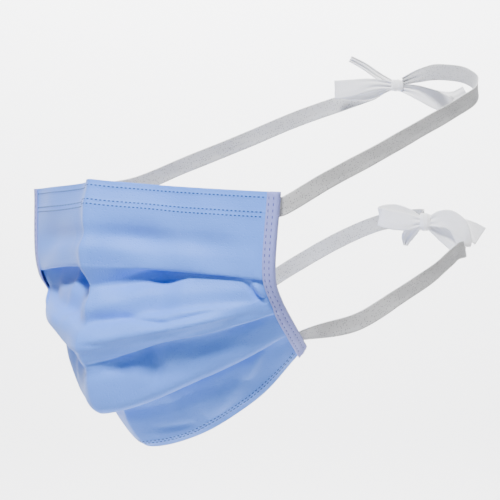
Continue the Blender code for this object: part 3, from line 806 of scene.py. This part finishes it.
SHORT_TAIL = (
    Bend(-0.08, 0.55, 0.04, 0.40), Bend(0.30, 0.90, 0.36, 0.45), Bend(0.65, 1.10, 0.72, 0.42),
    Bend(1.00, 1.00, 1.00, 0.36),
)
HANGING_TAIL = (
    Bend(-0.20, 0.55, 0.05, 0.30), Bend(0.30, 0.75, 0.30, 0.80), Bend(0.62, 0.90, 0.66, 0.72),
    Bend(0.72, 1.00, 1.00, 0.25),
)
LONG_TAIL = (
    Bend(-0.04, 1.35, 0.05, 0.40), Bend(0.30, 2.10, 0.45, 0.60), Bend(0.60, 2.40, 0.90, 0.75),
    Bend(0.80, 2.20, 1.00, 0.85), Bend(1.00, 1.60, 0.50, 0.75),
)
WIDE_TAIL = (
    Bend(-0.06, 0.45, 0.03, 0.40), Bend(0.30, 0.75, 0.12, 0.80), Bend(0.60, 0.80, 0.25, 0.90),
    Bend(0.80, 0.70, 0.55, 1.05), Bend(1.00, 0.60, 1.00, 1.20),
)

BowPiece = namedtuple("BowPiece", "name knot side length rise count bends phase")
BOW_PIECES = (
    BowPiece("bow_upper_loop_left", UPPER_KNOT, 1, 3.09, -1.32, 120, MIDDLE_LOOP, 0.2),
    BowPiece("bow_upper_loop_right", UPPER_KNOT, -1, 3.50, -0.28, 120, OPEN_LOOP, 0.9),
    BowPiece("bow_upper_tail_left", UPPER_KNOT, 1, 3.95, -0.79, 60, LONG_TAIL, 1.3),
    BowPiece("bow_upper_tail_right", UPPER_KNOT, -1, 2.50, 1.68, 50, SHORT_TAIL, 0.6),
    BowPiece("bow_lower_loop_left", LOWER_KNOT, 1, 2.15, -1.66, 110, ARCH_LOOP, 0.4),
    BowPiece("bow_lower_loop_right", LOWER_KNOT, -1, 2.38, 0.34, 110, FULL_LOOP, 1.1),
    BowPiece("bow_lower_tail_left", LOWER_KNOT, 1, 3.00, -0.86, 60, WIDE_TAIL, 0.7),
    BowPiece("bow_lower_tail_right", LOWER_KNOT, -1, 1.12, -1.40, 40, HANGING_TAIL, 0.1),
)


def make_bow_piece(bow):
    """A tape through its bends, placed by shares of the piece's length and rise, which count tie
    widths. Its width points up, or leans outwards by an angle in degrees."""
    points = [
        bow_point(bow.knot, bow.side * (bow.knot.width / 2 + bend.along * bow.length * TIE_WIDTH),
                  bend.behind * BOW_STEP, (bend.rise * bow.rise + bend.lift) * TIE_WIDTH)
        for bend in bow.bends
    ]
    widths = [bend.width * TIE_WIDTH for bend in bow.bends]
    leans = [
        UP * np.cos(np.radians(bend.lean)) + BOW_ALONG * bow.side * np.sin(np.radians(bend.lean))
        for bend in bow.bends
    ]
    grid, uv, _ = tape(points, widths, leans, bow.count, BOW_COLUMNS, bow.phase)
    piece = cloth_piece(bow.name + "_tape", grid, uv, TAPE_WALL)
    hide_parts(bow.name)


for bow in BOW_PIECES:
    make_bow_piece(bow)

# %% [markdown]
# ## The knots
# A knot is a short band of tape wound over the bundle of the others. Its surface is a drum with
# soft shoulders: squared sections round the bundle, swelling in the middle, with grooves between
# the turns of tape that lean a little.

# %% The knots
KNOT_RINGS, KNOT_SIDES = 39, 64
KNOT_TURNS, KNOT_GROOVE = 3.0, 0.07


def make_knot(name, knot, lean):
    """Half the knot's size times squared cosines and sines of a ball's angles, less a groove
    between the turns of tape, which lean with the angle round the bundle."""
    turn, tilt = ball_angles(KNOT_RINGS, KNOT_SIDES)
    along = squared(np.sin(tilt), 0.8)
    wave = 0.5 + 0.5 * np.cos(np.pi * (KNOT_TURNS * along + lean * np.sin(turn)))
    radius = np.cos(tilt) ** 0.35 * (1 - KNOT_GROOVE * wave**3)
    behind = radius * squared(np.cos(turn), 0.75) * KNOT_DEPTH / 2
    rise = radius * squared(np.sin(turn), 0.75) * knot.height / 2
    rings = np.stack(np.broadcast_arrays(along * knot.width / 2, behind, rise), -1).reshape(-1, 3)
    poles = np.array([[-knot.width / 2, 0, 0], [knot.width / 2, 0, 0]])
    points = knot.place + np.vstack([rings, poles]) @ np.stack([BOW_ALONG, BOW_BEHIND, UP])
    quads, triangles = ball_faces(KNOT_RINGS, KNOT_SIDES)
    piece = new_piece(name, points, quads.tolist() + triangles.tolist())
    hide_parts("knot_" + name.split("_")[1])
    print(name, "points:", len(points))


make_knot("wound_upper_knot", UPPER_KNOT, 0.5)
make_knot("wound_lower_knot", LOWER_KNOT, 0.4)

# %% [markdown]
# ## Finishes
# All of it is non-woven cloth: fine plastic threads blown into a felt and pressed together at
# small points. The finish has three scales: a slow drift of colour, the threads, and the pressed
# points, which catch the light through bump. A small class lets the shader maths read as plain
# expressions.

# %% Tools for finishes
class Signal:
    """A number that changes over the surface. Arithmetic on it adds Math nodes."""

    def __init__(self, finish, socket):
        self.finish, self.socket = finish, socket

    def maths(self, operation, first, second):
        return self.finish.add("ShaderNodeMath", {"operation": operation}, {0: first, 1: second})

    def __add__(self, other):
        return self.maths("ADD", self, other)

    def __radd__(self, other):
        return self.maths("ADD", other, self)

    def __sub__(self, other):
        return self.maths("SUBTRACT", self, other)

    def __rsub__(self, other):
        return self.maths("SUBTRACT", other, self)

    def __mul__(self, other):
        return self.maths("MULTIPLY", self, other)

    def __rmul__(self, other):
        return self.maths("MULTIPLY", other, self)


class Finish:
    """A material and its Principled shader, with one way to add a node."""

    def __init__(self, name, roughness, sheen):
        self.material = bpy.data.materials.new(name)
        self.material.use_nodes = True
        self.tree = self.material.node_tree
        self.shader = self.tree.nodes["Principled BSDF"]
        self.shader.inputs["Roughness"].default_value = roughness
        self.shader.inputs["Sheen Weight"].default_value = sheen
        self.shader.inputs["Specular IOR Level"].default_value = 0.3

    def feed(self, socket, value):
        """A signal is linked to the socket; a plain value is set on it."""
        if isinstance(value, Signal):
            self.tree.links.new(value.socket, socket)
        else:
            socket.default_value = value

    def add(self, kind, settings, inputs, output=0):
        """A node with its settings and inputs, and the signal of one of its outputs."""
        node = self.tree.nodes.new(kind)
        for name, value in settings.items():
            setattr(node, name, value)
        for key, value in inputs.items():
            self.feed(node.inputs[key], value)
        return Signal(self, node.outputs[output])

    def noise(self, place, scale, detail=2.0):
        return self.add("ShaderNodeTexNoise", {}, {"Vector": place, "Scale": scale, "Detail": detail})

    def mixed(self, share, first, second):
        return self.add("ShaderNodeMix", {"data_type": "RGBA"}, {0: share, 6: first, 7: second}, output=2)

    def stretched(self, place, scale):
        return self.add("ShaderNodeMapping", {}, {"Vector": place, "Scale": scale})

    def cover(self, colour, height, distance):
        """The shader's colour, and its bump: a height from 0 to 1 that stands for a distance."""
        self.feed(self.shader.inputs["Base Color"], colour)
        self.feed(self.shader.inputs["Normal"], self.add(
            "ShaderNodeBump", {}, {"Strength": 0.6, "Distance": distance, "Height": height}))


# %% [markdown]
# The cloth finish is shared by all four kinds of piece, with their own colours. Threads are noise
# stretched two ways. Pressed points are the near parts of a scattered grid of cells.

# %% The finishes
DRIFT_SCALE = 45.0
THREADS_ACROSS, THREADS_DOWN = (900.0, 2600.0, 1.0), (2600.0, 900.0, 1.0)
POINT_SCATTER = 0.55
POINT_EDGE = {"From Min": 0.18, "From Max": 0.36, "To Min": 1.0, "To Max": 0.0}
CLOTH_BUMP, WELD_BUMP = 0.00012, 0.00003
MOTTLE_SCALE = 900.0
BLUE, DEEP_BLUE, MELTED_BLUE = (0.11, 0.28, 0.90, 1), (0.07, 0.22, 0.84, 1), (0.01, 0.07, 0.27, 1)
LAVENDER, DEEP_LAVENDER = (0.25, 0.28, 0.66, 1), (0.20, 0.23, 0.60, 1)
MELTED_LAVENDER = (0.05, 0.06, 0.30, 1)
GREY, DARK_SPECK = (0.60, 0.60, 0.60, 1), (0.22, 0.22, 0.24, 1)
WHITE, DEEP_WHITE = (0.93, 0.93, 0.94, 1), (0.80, 0.80, 0.83, 1)


def cloth_finish(name, colour, deep, roughness, sheen, speck, point_pitch, wound=False):
    """colour drifts to deep with a slow noise; pressed points darken it by speck. Wound cloth has
    no flat map, so its pattern runs through space instead."""
    finish = Finish(name, roughness, sheen)
    if wound:
        place = finish.add("ShaderNodeTexCoord", {}, {}, output=3)
    else:
        place = finish.add("ShaderNodeUVMap", {"uv_map": "cloth"}, {})
    drift = finish.noise(place, DRIFT_SCALE, 3.0)
    threads = finish.noise(finish.stretched(place, THREADS_ACROSS), 1.0)
    cross_threads = finish.noise(finish.stretched(place, THREADS_DOWN), 1.0)
    cells = finish.add("ShaderNodeTexVoronoi", {}, {
        "Vector": place, "Scale": 1 / point_pitch, "Randomness": POINT_SCATTER})
    points = finish.add("ShaderNodeMapRange", {"interpolation_type": "SMOOTHSTEP"}, {
        "Value": cells, **POINT_EDGE})
    shade = drift * 0.5 + points * speck
    height = threads * 0.5 + cross_threads * 0.5 - points * 0.9
    finish.cover(finish.mixed(shade, colour, deep), height, CLOTH_BUMP)
    return finish.material


def weld_finish(name, colour):
    """Melted threads: one colour with a darker mottle, smooth and a little glossy."""
    finish = Finish(name, 0.4, 0.0)
    mottle = finish.noise(finish.add("ShaderNodeTexCoord", {}, {}, output=3), MOTTLE_SCALE)
    darker = (*(0.75 * part for part in colour[:3]), 1)
    finish.cover(finish.mixed(mottle * 0.6, colour, darker), mottle, WELD_BUMP)
    return finish.material


blue_cloth = cloth_finish("blue cloth", BLUE, DEEP_BLUE, 0.62, 0.15, 0.10, 0.0011)
lavender = cloth_finish("lavender binding", LAVENDER, DEEP_LAVENDER, 0.62, 0.15, 0.10, 0.0011)
grey_tape = cloth_finish("grey tie", GREY, DARK_SPECK, 0.72, 0.15, 0.65, 0.0010)
white_tape = cloth_finish("white bow", WHITE, DEEP_WHITE, 0.70, 0.2, 0.12, 0.0009)
white_knot = cloth_finish("white knot", WHITE, DEEP_WHITE, 0.70, 0.2, 0.12, 0.0009, wound=True)
blue_weld = weld_finish("blue weld", MELTED_BLUE)
lavender_weld = weld_finish("lavender weld", MELTED_LAVENDER)

LOOKS = (
    ("pleated_cloth", blue_cloth), ("folded_binding", lavender), ("hem_welds", blue_weld),
    ("binding_welds", lavender_weld), ("tie_", grey_tape), ("bow_", white_tape), ("wound_", white_knot),
)
for piece in [thing for thing in bpy.data.objects if thing.type == "MESH"]:
    for beginning, material in LOOKS:
        if piece.name.startswith(beginning) and not piece.data.materials:
            piece.data.materials.append(material)
print("finishes:", ", ".join(material.name for _, material in LOOKS))

# %% [markdown]
# ## The floor
# The picture has a plain white ground. Pale paper runs far below the mask and up behind it in one
# sweep, so that no horizon shows.

# %% Floor
FLOOR_DROP = 0.95
FLOOR_REACH = 2.4
FLOOR_HALF_WIDTH = 3.0
SWEEP_RADIUS, SWEEP_STEPS = 0.6, 24
WALL_HEIGHT = 2.5


def make_backdrop():
    """A floor, a quarter turn and a wall: one profile carried sideways, turned to the camera."""
    turn = np.linspace(0.0, np.pi / 2, SWEEP_STEPS)
    sweep_back = FLOOR_REACH - SWEEP_RADIUS + SWEEP_RADIUS * np.sin(turn)
    back = np.concatenate([[-FLOOR_REACH], sweep_back, [FLOOR_REACH]])
    rise = np.concatenate([[0.0], SWEEP_RADIUS * (1 - np.cos(turn)), [WALL_HEIGHT]])
    away = np.array([-np.sin(AZIMUTH), np.cos(AZIMUTH), 0.0])
    section = away * back[:, None] + UP * (rise - FLOOR_DROP)[:, None]
    grid = section[:, None] + to_right * np.array([[-FLOOR_HALF_WIDTH], [FLOOR_HALF_WIDTH]])
    backdrop = new_object("backdrop", grid, grid_faces(*grid.shape[:2]))
    return backdrop


paper = bpy.data.materials.new("paper")
paper.use_nodes = True
paper.node_tree.nodes["Principled BSDF"].inputs["Base Color"].default_value = (0.92, 0.92, 0.93, 1)
paper.node_tree.nodes["Principled BSDF"].inputs["Roughness"].default_value = 0.9
make_backdrop().data.materials.append(paper)
print("floor, mm under the nose:", round(1000 * FLOOR_DROP))

# %% [markdown]
# ## The light
# A small soft lamp above and before the mask gives its folds their shade, and a weak one fills in
# from the right. The large wall lamp stands behind the mask and lights only the paper, so the
# ground stays white while the cloth keeps its colour. A dim room fills the rest.

# %% Light
Lamp = namedtuple("Lamp", "name right back up size power target_back")
LAMPS = (
    Lamp("lamp above", -0.35, -1.10, 1.40, 0.30, 88.0, 0.0),
    Lamp("lamp right", 1.2, -0.6, 0.3, 0.8, 3.0, 0.0),
    Lamp("wall lamp", 0.0, 1.6, 1.5, 1.4, 280.0, 2.4),
)
middle = Vector((cad_low + cad_high) / 2)
for lamp in LAMPS:
    light = bpy.data.lights.new(lamp.name, "AREA")
    light.shape, light.size, light.energy = "SQUARE", lamp.size, lamp.power
    place = middle + Vector(to_right * lamp.right - to_camera * lamp.back + UP * lamp.up)
    target = middle - Vector(to_camera * lamp.target_back)
    turned = (place - target).to_track_quat("Z", "Y").to_matrix().to_4x4()
    holder = bpy.data.objects.new(lamp.name, light)
    holder.matrix_world = Matrix.Translation(place) @ turned
    bpy.context.scene.collection.objects.link(holder)

world = bpy.data.worlds.new("soft room")
world.use_nodes = True
world.node_tree.nodes["Background"].inputs["Color"].default_value = (0.95, 0.97, 1.0, 1)
world.node_tree.nodes["Background"].inputs["Strength"].default_value = 0.15
bpy.context.scene.world = world
print("lamps:", len(LAMPS))
